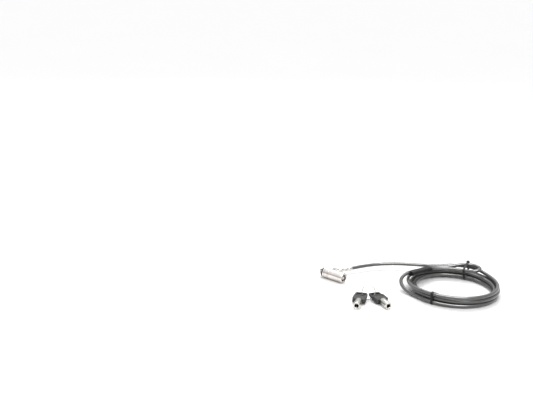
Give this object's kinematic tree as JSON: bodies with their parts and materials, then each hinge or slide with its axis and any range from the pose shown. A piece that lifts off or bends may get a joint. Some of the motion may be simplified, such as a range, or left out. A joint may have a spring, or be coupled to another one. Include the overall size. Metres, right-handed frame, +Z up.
{
  "type": "laptop cable lock",
  "caption": "Keyed T-bar lock head with a swivel collar on a coiled, plastic-coated steel cable with a crimped eye, and its tubular keys on a split ring.",
  "frame": {"origin": "centre of the locking bar's flat end face, on the barrel's axis", "axes": "+X along the barrel, out of the lock slot towards the key end; +Z up from the desk the parts lie on, square to the slot's long direction, which is Y"},
  "size_m": [0.2014, 0.1891, 0.0226],
  "materials": {
    "chrome": "bright chrome plate",
    "steel": "turned hardened steel",
    "brass": "turned brass",
    "nickel": "satin nickel plate",
    "washer_rubber": "matt moulded rubber",
    "cable_jacket": "smooth grey plastic coat over stranded steel",
    "sleeve_plastic": "dark heat-shrunk sleeve over a crimp",
    "tie_plastic": "black moulded plastic",
    "key_plastic": "fine-grained moulded plastic"
  },
  "bodies": {
    "cable": {"cable_terminal": "nickel", "cable_lead": "cable_jacket", "cable_coil": "cable_jacket", "cable_tail": "cable_jacket", "cable_eye": "cable_jacket", "eye_sleeve": "sleeve_plastic", "tie_front": "tie_plastic", "tie_rear": "tie_plastic", "key_1_head": "key_plastic", "key_1_shank": "nickel"},
    "collar": {"swivel_collar": "chrome", "pivot_pin": "steel"},
    "lock_head": {"barrel": "chrome", "nose_washer": "washer_rubber", "anti_twist_plate": "steel", "pin_sleeve": "brass", "face_ring": "chrome", "retaining_pin": "steel", "pin_spring_1": "steel", "pin_spring_2": "steel", "pin_spring_3": "steel", "pin_spring_4": "steel", "pin_spring_5": "steel", "pin_spring_6": "steel", "pin_spring_7": "steel"},
    "core": {"rotor": "steel", "locking_bar": "steel", "drive_pin": "steel"},
    "driver_1": {"driver_pin_1": "brass"},
    "driver_2": {"driver_pin_2": "brass"},
    "driver_3": {"driver_pin_3": "brass"},
    "driver_4": {"driver_pin_4": "brass"},
    "driver_5": {"driver_pin_5": "brass"},
    "driver_6": {"driver_pin_6": "brass"},
    "driver_7": {"driver_pin_7": "brass"},
    "keyed_1": {"key_pin_1": "steel"},
    "keyed_2": {"key_pin_2": "steel"},
    "keyed_3": {"key_pin_3": "steel"},
    "keyed_4": {"key_pin_4": "steel"},
    "keyed_5": {"key_pin_5": "steel"},
    "keyed_6": {"key_pin_6": "steel"},
    "keyed_7": {"key_pin_7": "steel"},
    "ring": {"split_ring": "nickel"},
    "second_key": {"key_2_head": "key_plastic", "key_2_shank": "nickel"}
  },
  "joints": [
    {"name": "terminal_pivot", "type": "hinge", "parent": "cable", "child": "collar", "pos_m": [0.0134, 0.0128, 0], "axis": [0, 0, 1], "range_deg": [-112, 68]},
    {"name": "collar_swivel", "type": "hinge", "parent": "collar", "child": "lock_head", "pos_m": [0.0134, 0, 0], "axis": [1, 0, 0], "continuous": true},
    {"name": "core_turn", "type": "hinge", "parent": "lock_head", "child": "core", "pos_m": [0.0134, 0, 0], "axis": [1, 0, 0], "range_deg": [0, 90]},
    {"name": "driver_pin_1_travel", "type": "slide", "parent": "lock_head", "child": "driver_1", "axis": [1, 0, 0], "range_m": [-0.0012, 0], "deforming": ["pin_spring_1"]},
    {"name": "driver_pin_2_travel", "type": "slide", "parent": "lock_head", "child": "driver_2", "axis": [1, 0, 0], "range_m": [-0.0012, 0], "deforming": ["pin_spring_2"]},
    {"name": "driver_pin_3_travel", "type": "slide", "parent": "lock_head", "child": "driver_3", "axis": [1, 0, 0], "range_m": [-0.0012, 0], "deforming": ["pin_spring_3"]},
    {"name": "driver_pin_4_travel", "type": "slide", "parent": "lock_head", "child": "driver_4", "axis": [1, 0, 0], "range_m": [-0.0012, 0], "deforming": ["pin_spring_4"]},
    {"name": "driver_pin_5_travel", "type": "slide", "parent": "lock_head", "child": "driver_5", "axis": [1, 0, 0], "range_m": [-0.0012, 0], "deforming": ["pin_spring_5"]},
    {"name": "driver_pin_6_travel", "type": "slide", "parent": "lock_head", "child": "driver_6", "axis": [1, 0, 0], "range_m": [-0.0012, 0], "deforming": ["pin_spring_6"]},
    {"name": "driver_pin_7_travel", "type": "slide", "parent": "lock_head", "child": "driver_7", "axis": [1, 0, 0], "range_m": [-0.0012, 0], "deforming": ["pin_spring_7"]},
    {"name": "key_pin_1_travel", "type": "slide", "parent": "core", "child": "keyed_1", "axis": [1, 0, 0], "range_m": [0, 0.0012]},
    {"name": "key_pin_2_travel", "type": "slide", "parent": "core", "child": "keyed_2", "axis": [1, 0, 0], "range_m": [0, 0.0012]},
    {"name": "key_pin_3_travel", "type": "slide", "parent": "core", "child": "keyed_3", "axis": [1, 0, 0], "range_m": [0, 0.0012]},
    {"name": "key_pin_4_travel", "type": "slide", "parent": "core", "child": "keyed_4", "axis": [1, 0, 0], "range_m": [0, 0.0012]},
    {"name": "key_pin_5_travel", "type": "slide", "parent": "core", "child": "keyed_5", "axis": [1, 0, 0], "range_m": [0, 0.0012]},
    {"name": "key_pin_6_travel", "type": "slide", "parent": "core", "child": "keyed_6", "axis": [1, 0, 0], "range_m": [0, 0.0012]},
    {"name": "key_pin_7_travel", "type": "slide", "parent": "core", "child": "keyed_7", "axis": [1, 0, 0], "range_m": [0, 0.0012]},
    {"name": "ring_lean", "type": "hinge", "parent": "cable", "child": "ring", "pos_m": [0.0889, -0.02, -0.0023], "axis": [0.7193, 0.6947, 0], "range_deg": [0, 12]},
    {"name": "second_key_swing", "type": "hinge", "parent": "cable", "child": "second_key", "pos_m": [0.09343, -0.01562, -0.0023], "axis": [0, 0, 1], "range_deg": [-8, 40]}
  ]
}
